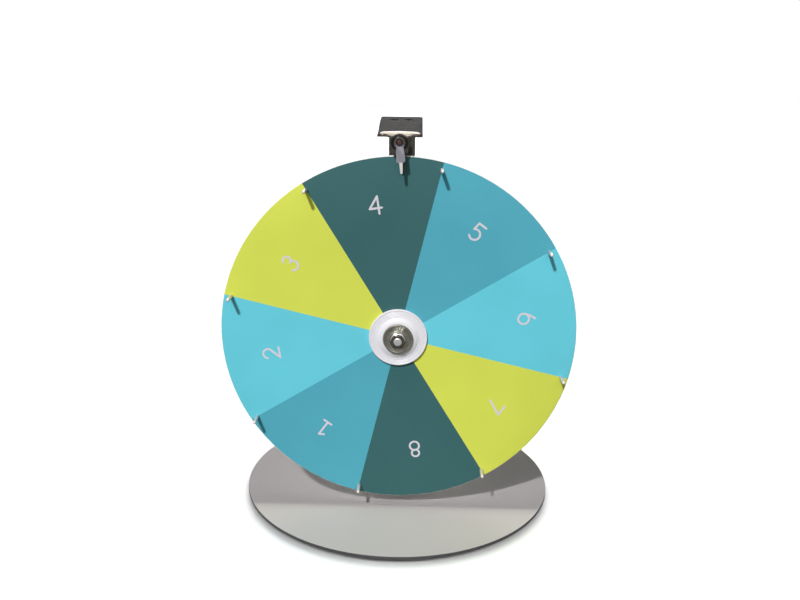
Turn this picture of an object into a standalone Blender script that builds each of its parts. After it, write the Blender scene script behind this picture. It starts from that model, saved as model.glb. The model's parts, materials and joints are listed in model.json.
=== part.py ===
"""A tabletop game spinner: a numbered dial with a ring of pegs, turning on a post over a round steel base,
and a sprung pointer that hangs from an arm above it.

Metres, +Z up. The origin is the centre of the base on the table, +X is to the player's right, and the dial
faces -Y. Pieces on the dial's axis are drawn in the dial's own frame: x right, y up, z towards the player,
with z = 0 on the dial's face."""

import math

import bmesh
import bpy

# Between faces that touch or run on each other, because faceted solids must not overlap
GAP = 0.0003

# Base and its feet
BASE_RADIUS = 0.192
BASE_THICKNESS = 0.0042
BASE_EDGE = 0.0006
FOOT_RADIUS = 0.011
FOOT_HEIGHT = 0.002
FOOT_CIRCLE = 0.168
BASE_TOP = FOOT_HEIGHT + GAP + BASE_THICKNESS

# Dial: a board with a printed face, on an axle over the base
DIAL_RADIUS = 0.203
DIAL_CLEARANCE = 0.0128
AXLE_HEIGHT = BASE_TOP + DIAL_CLEARANCE + DIAL_RADIUS
FACE_FORWARD = 0.079
FACE_THICKNESS = 0.0005
FACE_MARGIN = 0.001
BOARD_THICKNESS = 0.006
BOARD_FRONT = -FACE_THICKNESS - GAP
BOARD_BACK = BOARD_FRONT - BOARD_THICKNESS
BOARD_BORE = 0.0115
BOARD_EDGE = 0.0004

# Pegs stand on the borders between the sectors
SECTORS = 8
FIRST_BORDER = math.radians(76.7)
PEG_CIRCLE = 0.194
PEG_RADIUS = 0.002
PEG_LENGTH = 0.0203
PEG_SHANK = 0.0015
PEG_NUT_WIDTH = 0.007
PEG_NUT_THICKNESS = 0.0024

# Hub: two flanged housings, each with a ball bearing that reaches into the board's bore
HUB_FLANGE_RADIUS = 0.0333
HUB_FLANGE_THICKNESS = 0.003
HUB_BOSS_RADIUS = 0.0217
HUB_DEPTH = 0.0058
HUB_LIP = 0.0012
HUB_LIP_RADIUS = 0.010
HUB_SCREW_CIRCLE = 0.0175
HUB_SCREW_RADIUS = 0.00175
HUB_SCREW_LENGTH = 0.0157
HUB_SCREW_HEAD = 0.0032
BEARING_OUTER = 0.011
BEARING_WIDTH = 0.006
BEARING_START = -0.0019
BALL_CIRCLE = 0.0080
BALL_RADIUS = 0.0016
BALLS = 9

# Axle
AXLE_RADIUS = 0.005
AXLE_BORE = AXLE_RADIUS + GAP
AXLE_END = 0.0200
AXLE_HEX = 0.017
AXLE_HEAD = 0.0064
CUP_RADIUS = 0.0182
CUP_SEAT = 0.0079
NUT_HEIGHT = 0.0080
SLEEVE_RADIUS = 0.0072
WASHER_RADIUS = 0.0105
WASHER_THICKNESS = 0.002

# Post: a square tube on a flange, with a plug in its top
POST_WIDTH = 0.030
POST_WALL = 0.0016
POST_CORNER = 0.004
POST_FRONT = -FACE_FORWARD + POST_WIDTH / 2
POST_BACK = -FACE_FORWARD - POST_WIDTH / 2
FLANGE_WIDTH = 0.072
FLANGE_CORNER = 0.008
FLANGE_THICKNESS = 0.004
FLANGE_BOTTOM = BASE_TOP + GAP
FLANGE_TOP = FLANGE_BOTTOM + FLANGE_THICKNESS
FLANGE_HOLE_SPACING = 0.050
COLLAR_WIDTH = 0.0366
COLLAR_HEIGHT = 0.007
FLANGE_SCREW_RADIUS = 0.003
FLANGE_SCREW_HEAD = 0.0055
FLANGE_SCREW_HEAD_HEIGHT = 0.0033
PLUG_DEPTH = 0.034
PLUG_SCREW_RADIUS = 0.0025
PLUG_SCREW_DROPS = (0.011, 0.025)

# Arm: a strap that slopes up to the back, with a rounded nose and a tongue at its front
ARM_WIDTH = 0.0482
ARM_SIDEWAYS = -0.001
ARM_SHEET = 0.0025
ARM_BACK = -0.102
ARM_SLOPE = math.radians(5.6)
ARM_FRONT_HEIGHT = 0.2273
ARM_CORNER = 0.004
TRIM = 0.002
NOSE_RADIUS = 0.009
TONGUE_FRONT = 0.0073
TONGUE_HALF_WIDTH = 0.0093
TONGUE_TIP_HALF_WIDTH = 0.0060
TONGUE_BOTTOM = 0.2025
WING_BOTTOM = 0.2246
ARM_SCREW_OFFSET = 0.0085
ARM_SCREW_LENGTH = 0.016
ARM_SCREW_HEAD = 0.0048

# Pointer and its pivot, in front of the tongue. At rest they lean, because the spring cup is clamped so
PIVOT_LEAN = math.radians(4.5)
PIVOT_HEIGHT = 0.2174
PIVOT_SCREW_RADIUS = 0.0015
PIVOT_HOLE = PIVOT_SCREW_RADIUS + GAP
PIVOT_NUT_WIDTH = 0.0055
SPRING_CUP_BACK = TONGUE_FRONT + GAP
SPRING_CUP_FLOOR = 0.0012
SPRING_CUP_FRONT = 0.0151
SPRING_CUP_RADIUS = 0.0093
SPRING_CUP_INNER = 0.0080
SPRING_RADIUS = 0.0044
SPRING_WIRE = 0.00035
SPRING_TURNS = 1.5
POINTER_BACK = 0.0120
POINTER_THICKNESS = 0.0025
POINTER_HEAD = 0.0062
POINTER_NECK = 0.0040
POINTER_BODY = 0.0049
POINTER_SHOULDER = 0.0203
POINTER_TIP = 0.0324
POINTER_TIP_WIDE = 0.0019
POINTER_TIP_NARROW = 0.0013

FINE, MEDIUM, SMALL, TINY = 72, 32, 20, 10
FACING_BACK = (math.pi, 0, 0)

FINISHES = {
    "base_paint": ((0.60, 0.60, 0.59), 0.42, 0.2),
    "dark_nickel": ((0.16, 0.15, 0.14), 0.22, 1.0),
    "nickel": ((0.62, 0.61, 0.59), 0.22, 1.0),
    "zinc": ((0.55, 0.55, 0.53), 0.40, 1.0),
    "bearing_steel": ((0.66, 0.67, 0.69), 0.18, 1.0),
    "white_board": ((0.86, 0.86, 0.84), 0.50, 0.0),
    "printed_face": ((0.08, 0.34, 0.42), 0.45, 0.0),
    "white_plastic": ((0.84, 0.84, 0.85), 0.35, 0.0),
    "pointer_metal": ((0.45, 0.43, 0.43), 0.30, 0.9),
    "bronze": ((0.42, 0.24, 0.12), 0.35, 1.0),
    "black_steel": ((0.03, 0.03, 0.03), 0.40, 0.8),
    "spring_steel": ((0.35, 0.35, 0.35), 0.30, 1.0),
    "rubber": ((0.03, 0.03, 0.03), 0.80, 0.0),
}


# Scene and placing


def clear_scene():
    for obj in list(bpy.data.objects):
        bpy.data.objects.remove(obj, do_unlink=True)


def new_collection(name):
    collection = bpy.data.collections.new(name)
    bpy.context.scene.collection.children.link(collection)
    return collection


def finish(name):
    """The material of one finish, made the first time it is asked for."""
    material = bpy.data.materials.get(name)
    if material is None:
        color, roughness, metallic = FINISHES[name]
        material = bpy.data.materials.new(name)
        material.use_nodes = True
        shader = material.node_tree.nodes["Principled BSDF"]
        shader.inputs["Base Color"].default_value = (*color, 1)
        shader.inputs["Roughness"].default_value = roughness
        shader.inputs["Metallic"].default_value = metallic
    return material


def place(obj, parent, location, rotation):
    obj.parent = parent
    obj.location = location
    obj.rotation_euler = rotation
    return obj


def add(name, mesh, finish_name, parent=None, location=(0, 0, 0), rotation=(0, 0, 0)):
    """A sub-part from a mesh, which other sub-parts may share."""
    if not mesh.materials:
        mesh.materials.append(finish(finish_name))
    obj = bpy.data.objects.new(name, mesh)
    PARTS.objects.link(obj)
    return place(obj, parent, location, rotation)


def frame(name, location, rotation, parent=None):
    empty = bpy.data.objects.new(name, None)
    empty.empty_display_size = 0.02
    PARTS.objects.link(empty)
    return place(empty, parent, location, rotation)


def dial_angle(index):
    """Where border number index lies around the dial, counted clockwise as the player sees it."""
    return FIRST_BORDER - index * math.tau / SECTORS


def around(radius, angle, depth=0.0):
    return (radius * math.cos(angle), radius * math.sin(angle), depth)


# Shapes


def evaluated_mesh(obj):
    """The object's mesh with its modifiers applied. The object is removed."""
    bpy.context.view_layer.update()
    graph = bpy.context.evaluated_depsgraph_get()
    mesh = bpy.data.meshes.new_from_object(obj.evaluated_get(graph))
    bpy.data.objects.remove(obj, do_unlink=True)
    return mesh


def shade(mesh, smooth_below=35):
    mesh.shade_smooth()
    mesh.set_sharp_from_angle(angle=math.radians(smooth_below))
    return mesh


def turned(profile, steps, ring=False):
    """A turned mesh about +Z. The profile's (radius, height) points run down the outer side, and a ring's
    go on up its inner side."""
    bm = bmesh.new()
    verts = [bm.verts.new((radius, 0, height)) for radius, height in profile]
    for start, end in zip(verts, verts[1:]):
        bm.edges.new((start, end))
    if ring:
        bm.edges.new((verts[-1], verts[0]))
    mesh = bpy.data.meshes.new("profile")
    bm.to_mesh(mesh)
    bm.free()
    obj = bpy.data.objects.new("profile", mesh)
    PARTS.objects.link(obj)
    screw = obj.modifiers.new("Turn", "SCREW")
    screw.steps = screw.render_steps = steps
    screw.use_merge_vertices = True
    screw.merge_threshold = 0.00001
    return shade(evaluated_mesh(obj))


def tube_profile(inner, outer, bottom, top):
    return [(outer, top), (outer, bottom), (inner, bottom), (inner, top)]


def rod_profile(radius, bottom, top):
    return [(0, top), (radius, top), (radius, bottom), (0, bottom)]


def prism(outlines, bottom, top):
    """A mesh from closed outlines in the XY plane, an outer one and any holes, filled from bottom to top."""
    curve = bpy.data.curves.new("outline", "CURVE")
    curve.dimensions = "2D"
    curve.fill_mode = "BOTH"
    curve.extrude = (top - bottom) / 2
    for outline in outlines:
        spline = curve.splines.new("POLY")
        spline.points.add(len(outline) - 1)
        for point, (x, y) in zip(spline.points, outline):
            point.co = (x, y, 0, 1)
        spline.use_cyclic_u = True
    obj = bpy.data.objects.new("outline", curve)
    PARTS.objects.link(obj)
    mesh = evaluated_mesh(obj)
    bm = bmesh.new()
    bm.from_mesh(mesh)
    bmesh.ops.translate(bm, verts=bm.verts, vec=(0, 0, (top + bottom) / 2))
    bmesh.ops.remove_doubles(bm, verts=bm.verts, dist=0.00001)
    bmesh.ops.recalc_face_normals(bm, faces=bm.faces)
    bm.to_mesh(mesh)
    bm.free()
    return shade(mesh)


def arc(x, y, radius, start, end, steps):
    """Points on an arc, ends included. Angles in degrees."""
    angles = [math.radians(start + (end - start) * i / steps) for i in range(steps + 1)]
    return [(x + radius * math.cos(a), y + radius * math.sin(a)) for a in angles]


def circle(radius, steps, x=0.0, y=0.0):
    return arc(x, y, radius, 0, 360, steps)[:-1]


def hexagon(across_flats):
    """A hexagon with a flat side at the top."""
    return arc(0, 0, across_flats / 2 / math.cos(math.pi / 6), 0, 300, 5)


def rounded_rectangle(width, height, radius, steps=4):
    x, y = width / 2 - radius, height / 2 - radius
    return (
        arc(x, y, radius, 0, 90, steps)
        + arc(-x, y, radius, 90, 180, steps)
        + arc(-x, -y, radius, 180, 270, steps)
        + arc(x, -y, radius, 270, 360, steps)
    )


def mirrored(half):
    """A closed outline from its right half, given from top to bottom."""
    return half + [(-x, y) for x, y in reversed(half) if x > 0.00001]


def combine(obj, operation, mesh, location=(0, 0, 0), rotation=(0, 0, 0)):
    """A Boolean on obj with a tool mesh, placed in the same frame as obj."""
    tool = bpy.data.objects.new(obj.name + "_tool", mesh)
    TOOLS.objects.link(tool)
    tool.hide_render = True
    tool.display_type = "WIRE"
    place(tool, obj.parent, location, rotation)
    boolean = obj.modifiers.new("Boolean", "BOOLEAN")
    boolean.operation = operation
    boolean.object = tool
    return obj


def screw_mesh(radius, length, head_radius, head_height, socket):
    """A round-headed screw with a hexagon socket. Its head's underside is at z = 0 and its head is at +z."""
    profile = [
        (0, head_height),
        (head_radius * 0.62, head_height),
        (head_radius * 0.92, head_height * 0.62),
        (head_radius, head_height * 0.2),
        (head_radius, 0),
        (radius, 0),
        (radius, -length),
        (0, -length),
    ]
    screw = add("screw", turned(profile, TINY), "zinc")
    recess = prism([hexagon(socket)], head_height * 0.45, head_height + 0.001)
    combine(screw, "DIFFERENCE", recess)
    return shade(evaluated_mesh(screw))


# Base, feet and post


def make_base():
    top, bottom, edge = BASE_TOP, BASE_TOP - BASE_THICKNESS, BASE_EDGE
    profile = [
        (0, top),
        (BASE_RADIUS - edge, top),
        (BASE_RADIUS, top - edge),
        (BASE_RADIUS, bottom + edge),
        (BASE_RADIUS - edge, bottom),
        (0, bottom),
    ]
    base = add("base_plate", turned(profile, FINE), "base_paint")
    hole = turned(rod_profile(FLANGE_SCREW_RADIUS + GAP, 0, 0.01), TINY)
    for x, y in flange_holes():
        combine(base, "DIFFERENCE", hole, (x, y, 0))
    foot_profile = [
        (0, FOOT_HEIGHT),
        (FOOT_RADIUS, FOOT_HEIGHT),
        (FOOT_RADIUS, 0.0004),
        (FOOT_RADIUS - 0.0004, 0),
        (0, 0),
    ]
    foot = turned(foot_profile, SMALL)
    for index in range(4):
        angle = math.radians(45 + 90 * index)
        add(f"base_foot_{index + 1}", foot, "rubber", location=around(FOOT_CIRCLE, angle))


def flange_holes():
    half = FLANGE_HOLE_SPACING / 2
    return [(half, half), (-half, half), (-half, -half), (half, -half)]


def make_post_flange():
    plate = prism([rounded_rectangle(FLANGE_WIDTH, FLANGE_WIDTH, FLANGE_CORNER)], FLANGE_BOTTOM, FLANGE_TOP)
    flange = add("post_flange", plate, "dark_nickel")
    inside = POST_WIDTH + 2 * GAP
    collar = prism(
        [
            rounded_rectangle(COLLAR_WIDTH, COLLAR_WIDTH, POST_CORNER + 0.0033),
            rounded_rectangle(inside, inside, POST_CORNER + GAP),
        ],
        FLANGE_TOP - 0.001,
        FLANGE_TOP + COLLAR_HEIGHT,
    )
    combine(flange, "UNION", collar)
    hole = turned(rod_profile(FLANGE_SCREW_RADIUS + GAP, 0, 0.02), TINY)
    for x, y in flange_holes():
        combine(flange, "DIFFERENCE", hole, (x, y, 0))
    seat = FLANGE_TOP + GAP
    screw = screw_mesh(
        FLANGE_SCREW_RADIUS,
        seat - (BASE_TOP - BASE_THICKNESS) - 0.0005,
        FLANGE_SCREW_HEAD,
        FLANGE_SCREW_HEAD_HEIGHT,
        0.004,
    )
    for index, (x, y) in enumerate(flange_holes()):
        add(f"flange_screw_{index + 1}", screw, "zinc", location=(x, y, seat))


def arm_top(z):
    """Height over the axle of the arm's top, at depth z of the dial's frame."""
    return ARM_FRONT_HEIGHT + (TONGUE_FRONT - z) * math.tan(ARM_SLOPE)


def under_arm(y):
    """Height over the table, just below the arm, at the row's y."""
    return AXLE_HEIGHT + arm_top(-FACE_FORWARD - y) - ARM_SHEET / math.cos(ARM_SLOPE) - GAP


def slope_top(mesh):
    """Moves the top of an upright prism to lie just under the arm."""
    middle = sum(vertex.co.z for vertex in mesh.vertices) / len(mesh.vertices)
    for vertex in mesh.vertices:
        if vertex.co.z > middle:
            vertex.co.z = under_arm(vertex.co.y)
    return mesh


def make_post():
    inside = POST_WIDTH - 2 * POST_WALL
    top = under_arm(0)
    tube = prism(
        [
            rounded_rectangle(POST_WIDTH, POST_WIDTH, POST_CORNER),
            rounded_rectangle(inside, inside, POST_CORNER - POST_WALL),
        ],
        FLANGE_TOP + GAP,
        top,
    )
    post = add("post", slope_top(tube), "dark_nickel")
    axle_hole = turned(rod_profile(AXLE_BORE, -POST_WIDTH, POST_WIDTH), SMALL)
    combine(post, "DIFFERENCE", axle_hole, (0, 0, AXLE_HEIGHT), (math.pi / 2, 0, 0))
    width = inside - 2 * GAP
    block = prism([rounded_rectangle(width, width, POST_CORNER - POST_WALL)], top - PLUG_DEPTH, top)
    plug = add("post_plug", slope_top(block), "zinc")
    screw_hole = turned(rod_profile(PLUG_SCREW_RADIUS + GAP, -0.018, 0.001), TINY)
    screw = screw_mesh(PLUG_SCREW_RADIUS, 0.013, 0.0046, 0.0028, 0.003)
    from_back = (-math.pi / 2, 0, 0)
    for index, drop in enumerate(PLUG_SCREW_DROPS):
        seat = (0, POST_WIDTH / 2 + GAP, top - drop)
        combine(post, "DIFFERENCE", screw_hole, seat, from_back)
        combine(plug, "DIFFERENCE", screw_hole, seat, from_back)
        add(f"plug_screw_{index + 1}", screw, "zinc", location=seat, rotation=from_back)
    return plug


# Arm


def arm_side_outline():
    """The strap's side view as (z, y) of the dial's frame: slope, rounded nose and tongue."""
    lean = math.degrees(ARM_SLOPE)
    nose_z = TONGUE_FRONT - NOSE_RADIUS
    nose_y = arm_top(nose_z + NOSE_RADIUS * math.sin(ARM_SLOPE)) - NOSE_RADIUS * math.cos(ARM_SLOPE)
    tongue_back = TONGUE_FRONT - ARM_SHEET
    lift = ARM_SHEET / math.cos(ARM_SLOPE)
    outer = arc(nose_z, nose_y, NOSE_RADIUS, 0, 90 - lean, 10)
    inner = arc(nose_z, nose_y, NOSE_RADIUS - ARM_SHEET, 90 - lean, 0, 8)
    end = ARM_BACK - TRIM
    back = [(end, arm_top(end)), (end, arm_top(end) - lift)]
    foot = [(tongue_back, TONGUE_BOTTOM), (TONGUE_FRONT, TONGUE_BOTTOM)]
    return outer + back + inner + foot


def arm_front_outline():
    """The strap's front view: wings, an apron that narrows under them, and the tongue."""
    half = ARM_WIDTH / 2
    right = [
        (half + TRIM, ARM_FRONT_HEIGHT + 0.03),
        (half + TRIM, WING_BOTTOM + 0.0012 + TRIM),
        (half - 0.0012, WING_BOTTOM),
        (half - 0.0055, WING_BOTTOM - 0.0006),
        (TONGUE_HALF_WIDTH + 0.0027, WING_BOTTOM - 0.0022),
        (TONGUE_HALF_WIDTH, WING_BOTTOM - 0.0050),
        (TONGUE_HALF_WIDTH, PIVOT_HEIGHT - 0.009),
        (TONGUE_TIP_HALF_WIDTH, TONGUE_BOTTOM),
        (TONGUE_TIP_HALF_WIDTH, TONGUE_BOTTOM - TRIM),
    ]
    return mirrored(right)


def arm_plan_outline():
    """The strap from above as (x, z): its back corners are round."""
    half = ARM_WIDTH / 2
    x, z = half - ARM_CORNER, ARM_BACK + ARM_CORNER
    return (
        [(half, 0.02), (-half, 0.02)]
        + arc(-x, z, ARM_CORNER, 180, 270, 4)
        + arc(x, z, ARM_CORNER, 270, 360, 4)
    )


def make_arm(arm_frame, plug):
    strap = prism([arm_side_outline()], -ARM_WIDTH / 2 - TRIM, ARM_WIDTH / 2 + TRIM)
    arm = add("pointer_arm", strap, "dark_nickel", arm_frame, rotation=(0, -math.pi / 2, 0))
    combine(arm, "INTERSECT", prism([arm_front_outline()], ARM_BACK - 0.01, 0.02))
    plan = prism([arm_plan_outline()], -0.3, 0)
    combine(arm, "INTERSECT", plan, rotation=(math.pi / 2, 0, 0))
    pivot_hole = turned(rod_profile(PIVOT_HOLE, 0, 0.02), TINY)
    combine(arm, "DIFFERENCE", pivot_hole, (0, PIVOT_HEIGHT, 0))
    head, shank, length = ARM_SCREW_HEAD, PLUG_SCREW_RADIUS, ARM_SCREW_LENGTH
    flat = 0.0004
    profile = [(0, -flat), (head, -flat), (head, -2 * flat), (shank, -2 * flat - head + shank)]
    screw = add("screw", turned(profile + [(shank, -length), (0, -length)], TINY), "dark_nickel")
    combine(screw, "DIFFERENCE", prism([hexagon(0.003)], -0.002, 0.001))
    screw = shade(evaluated_mesh(screw))
    wide = [(0, 0.002), (head + GAP, 0.002), (head + GAP, -2 * flat - GAP)]
    deep = [(shank + GAP, -2 * flat - GAP - head + shank), (shank + GAP, -length - 0.001), (0, -length - 0.001)]
    sink = turned(wide + deep, TINY)
    normal = (ARM_SLOPE - math.pi / 2, 0, 0)
    for name, x in (("arm_screw_left", -ARM_SCREW_OFFSET), ("arm_screw_right", ARM_SCREW_OFFSET)):
        top = (x, arm_top(-FACE_FORWARD), -FACE_FORWARD)
        combine(arm, "DIFFERENCE", sink, top, normal)
        add(name, screw, "dark_nickel", arm_frame, top, normal)
        tool = combine(plug, "DIFFERENCE", sink).modifiers[-1].object
        place(tool, arm_frame, top, normal)


# Axle


def make_axle(dial):
    seat = POST_BACK - GAP - WASHER_THICKNESS - GAP
    bolt = add("axle_bolt", turned(rod_profile(AXLE_RADIUS, seat - AXLE_HEAD / 2, AXLE_END), SMALL), "zinc", dial)
    combine(bolt, "UNION", prism([hexagon(AXLE_HEX)], seat - AXLE_HEAD, seat))
    washer = tube_profile(AXLE_BORE, WASHER_RADIUS, seat + GAP, seat + GAP + WASHER_THICKNESS)
    add("rear_washer", turned(washer, SMALL, ring=True), "zinc", dial)
    rear_race = BOARD_BACK - BEARING_START - BEARING_WIDTH
    sleeve = tube_profile(AXLE_BORE, SLEEVE_RADIUS, POST_FRONT + GAP, rear_race - GAP)
    add("spacer_sleeve", turned(sleeve, SMALL, ring=True), "nickel", dial)
    spacer = tube_profile(AXLE_BORE, 0.0072, BOARD_BACK - BEARING_START + GAP, BEARING_START - GAP)
    add("bearing_spacer", turned(spacer, SMALL, ring=True), "zinc", dial)
    nose = BEARING_START + BEARING_WIDTH + GAP
    back = HUB_DEPTH + 2 * GAP
    cup = [
        (CUP_RADIUS - 0.0012, 0.0102),
        (CUP_RADIUS, 0.0095),
        (CUP_RADIUS, 0.0084),
        (0.0155, 0.0072),
        (0.0110, back),
        (SLEEVE_RADIUS, back),
        (SLEEVE_RADIUS, nose),
        (AXLE_BORE, nose),
        (AXLE_BORE, CUP_SEAT),
        (0.0094, CUP_SEAT),
        (0.0100, 0.0073),
        (0.0135, 0.0077),
        (0.0156, 0.0093),
    ]
    add("cup_washer", turned(cup, MEDIUM, ring=True), "dark_nickel", dial)
    nut_back = CUP_SEAT + GAP
    nut_front = nut_back + NUT_HEIGHT
    nut = add("axle_nut", prism([hexagon(AXLE_HEX), circle(AXLE_BORE, SMALL)], nut_back, nut_front), "nickel", dial)
    collar = [
        (0.0066, nut_front + 0.0020),
        (0.0076, nut_front + 0.0010),
        (0.0076, nut_front - 0.0010),
        (AXLE_BORE, nut_front - 0.0010),
        (AXLE_BORE, nut_front + 0.0020),
    ]
    combine(nut, "UNION", turned(collar, SMALL, ring=True))


# Wheel


def peg_angles():
    return [dial_angle(index) for index in range(SECTORS)]


def hub_screw_places():
    return [around(HUB_SCREW_CIRCLE, math.radians(45 + 90 * index)) for index in range(4)]


def drill_board(board):
    peg_hole = turned(rod_profile(PEG_SHANK + GAP, -0.01, 0.01), TINY)
    for angle in peg_angles():
        combine(board, "DIFFERENCE", peg_hole, around(PEG_CIRCLE, angle))
    screw_hole = turned(rod_profile(HUB_SCREW_RADIUS + GAP, -0.01, 0.01), TINY)
    for spot in hub_screw_places():
        combine(board, "DIFFERENCE", screw_hole, spot)


def make_board(dial):
    edge = BOARD_EDGE
    profile = [
        (DIAL_RADIUS - edge, BOARD_FRONT),
        (DIAL_RADIUS, BOARD_FRONT - edge),
        (DIAL_RADIUS, BOARD_BACK + edge),
        (DIAL_RADIUS - edge, BOARD_BACK),
        (BOARD_BORE, BOARD_BACK),
        (BOARD_BORE, BOARD_FRONT),
    ]
    drill_board(add("wheel_board", turned(profile, FINE, ring=True), "white_board", dial))
    face = tube_profile(BOARD_BORE, DIAL_RADIUS - FACE_MARGIN, -FACE_THICKNESS, 0)
    drill_board(add("printed_face", turned(face, FINE, ring=True), "printed_face", dial))


def make_pegs(dial):
    peg_profile = [
        (0, PEG_LENGTH),
        (PEG_RADIUS * 0.6, PEG_LENGTH - 0.0003),
        (PEG_RADIUS * 0.9, PEG_LENGTH - 0.0010),
        (PEG_RADIUS, PEG_LENGTH - 0.0019),
        (PEG_RADIUS, GAP),
        (PEG_SHANK, GAP),
        (PEG_SHANK, BOARD_BACK - PEG_NUT_THICKNESS - 0.0015),
        (0, BOARD_BACK - PEG_NUT_THICKNESS - 0.0015),
    ]
    peg = turned(peg_profile, TINY)
    nut_front = BOARD_BACK - GAP
    hole = circle(PEG_SHANK + GAP, TINY)
    nut = prism([hexagon(PEG_NUT_WIDTH), hole], nut_front - PEG_NUT_THICKNESS, nut_front)
    for index, angle in enumerate(peg_angles()):
        add(f"peg_{index + 1}", peg, "nickel", dial, around(PEG_CIRCLE, angle))
        add(f"peg_nut_{index + 1}", nut, "zinc", dial, around(PEG_CIRCLE, angle), (0, 0, angle))


def hub_mesh():
    """A housing that stands on z = 0: flange, boss and a bearing seat with a lip at its far end."""
    chamfer = 0.0008
    profile = [
        (HUB_BOSS_RADIUS - chamfer, HUB_DEPTH),
        (HUB_BOSS_RADIUS, HUB_DEPTH - chamfer),
        (HUB_BOSS_RADIUS, GAP + HUB_FLANGE_THICKNESS + chamfer),
        (HUB_BOSS_RADIUS + chamfer, GAP + HUB_FLANGE_THICKNESS),
        (HUB_FLANGE_RADIUS - chamfer, GAP + HUB_FLANGE_THICKNESS),
        (HUB_FLANGE_RADIUS, GAP + HUB_FLANGE_THICKNESS - chamfer),
        (HUB_FLANGE_RADIUS, GAP),
        (BEARING_OUTER + GAP, GAP),
        (BEARING_OUTER + GAP, HUB_DEPTH - HUB_LIP),
        (HUB_LIP_RADIUS, HUB_DEPTH - HUB_LIP),
        (HUB_LIP_RADIUS, HUB_DEPTH),
    ]
    return turned(profile, MEDIUM, ring=True)


def race_meshes():
    """The outer and inner race of one bearing, each with its ball groove."""
    bottom, top = BEARING_START, BEARING_START + BEARING_WIDTH
    middle = (bottom + top) / 2
    groove_half, groove_depth = 0.0015, 0.0006
    outer_bore = BALL_CIRCLE + BALL_RADIUS + GAP - groove_depth
    inner_rim = BALL_CIRCLE - BALL_RADIUS - GAP + groove_depth
    outer = [
        (BEARING_OUTER, top),
        (BEARING_OUTER, bottom),
        (outer_bore, bottom),
        (outer_bore, middle - groove_half),
        (outer_bore + groove_depth, middle - groove_half / 3),
        (outer_bore + groove_depth, middle + groove_half / 3),
        (outer_bore, middle + groove_half),
        (outer_bore, top),
    ]
    inner = [
        (inner_rim, top),
        (inner_rim, middle + groove_half),
        (inner_rim - groove_depth, middle + groove_half / 3),
        (inner_rim - groove_depth, middle - groove_half / 3),
        (inner_rim, middle - groove_half),
        (inner_rim, bottom),
        (AXLE_BORE, bottom),
        (AXLE_BORE, top),
    ]
    return turned(outer, SMALL, ring=True), turned(inner, SMALL, ring=True)


def ball_mesh():
    """One bearing's balls, before the cage's ring joins them."""
    bm = bmesh.new()
    for index in range(BALLS):
        ball = bmesh.ops.create_uvsphere(bm, u_segments=8, v_segments=6, radius=BALL_RADIUS)
        spot = around(BALL_CIRCLE, math.tau * index / BALLS, BEARING_START + BEARING_WIDTH / 2)
        bmesh.ops.translate(bm, verts=ball["verts"], vec=spot)
    mesh = bpy.data.meshes.new("balls")
    bm.to_mesh(mesh)
    bm.free()
    return mesh


def cage_mesh():
    middle = BEARING_START + BEARING_WIDTH / 2
    ring = tube_profile(BALL_CIRCLE - 0.0004, BALL_CIRCLE + 0.0004, middle - 0.0006, middle + 0.0006)
    cage = add("cage", turned(ring, SMALL, ring=True), "bearing_steel")
    combine(cage, "UNION", ball_mesh())
    return shade(evaluated_mesh(cage))


def make_hub(dial):
    outer_race, inner_race = race_meshes()
    cage = cage_mesh()
    sides = (("front", 0.0, (0, 0, 0)), ("rear", BOARD_BACK, FACING_BACK))
    for side, depth, turn in sides:
        hub = add(f"{side}_hub", hub_mesh(), "white_plastic", dial, (0, 0, depth), turn)
        reach = HUB_DEPTH - 0.002 if side == "front" else HUB_DEPTH + 0.001
        hole = turned(rod_profile(HUB_SCREW_RADIUS + GAP, -0.001, reach), TINY)
        for x, y, _ in hub_screw_places():
            combine(hub, "DIFFERENCE", hole, (x, y, depth), turn)
        add(f"{side}_outer_race", outer_race, "bearing_steel", dial, (0, 0, depth), turn)
        add(f"{side}_inner_race", inner_race, "bearing_steel", dial, (0, 0, depth), turn)
        add(f"{side}_ball_cage", cage, "bearing_steel", dial, (0, 0, depth), turn)
    screw = screw_mesh(HUB_SCREW_RADIUS, HUB_SCREW_LENGTH, HUB_SCREW_HEAD, 0.0022, 0.0025)
    for index, (x, y, _) in enumerate(hub_screw_places()):
        seat = (x, y, BOARD_BACK - HUB_DEPTH - GAP)
        add(f"hub_screw_{index + 1}", screw, "zinc", dial, seat, FACING_BACK)


# Pointer


def pointer_outline():
    """The pointer from the front, about its pivot: round head, flat body, shoulders and a thin tip."""
    corner = math.degrees(math.asin(POINTER_NECK / POINTER_HEAD))
    head = arc(0, 0, POINTER_HEAD, 90, corner - 90, 14)
    right = head + [
        (POINTER_BODY, -POINTER_SHOULDER + 0.0022),
        (POINTER_BODY - 0.0004, -POINTER_SHOULDER + 0.0006),
        (POINTER_BODY - 0.0014, -POINTER_SHOULDER),
        (POINTER_TIP_WIDE, -POINTER_SHOULDER - 0.0006),
        (POINTER_TIP_NARROW, -POINTER_TIP + 0.0009),
        (POINTER_TIP_NARROW * 0.6, -POINTER_TIP + 0.0002),
        (0, -POINTER_TIP),
    ]
    return mirrored(right)


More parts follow.
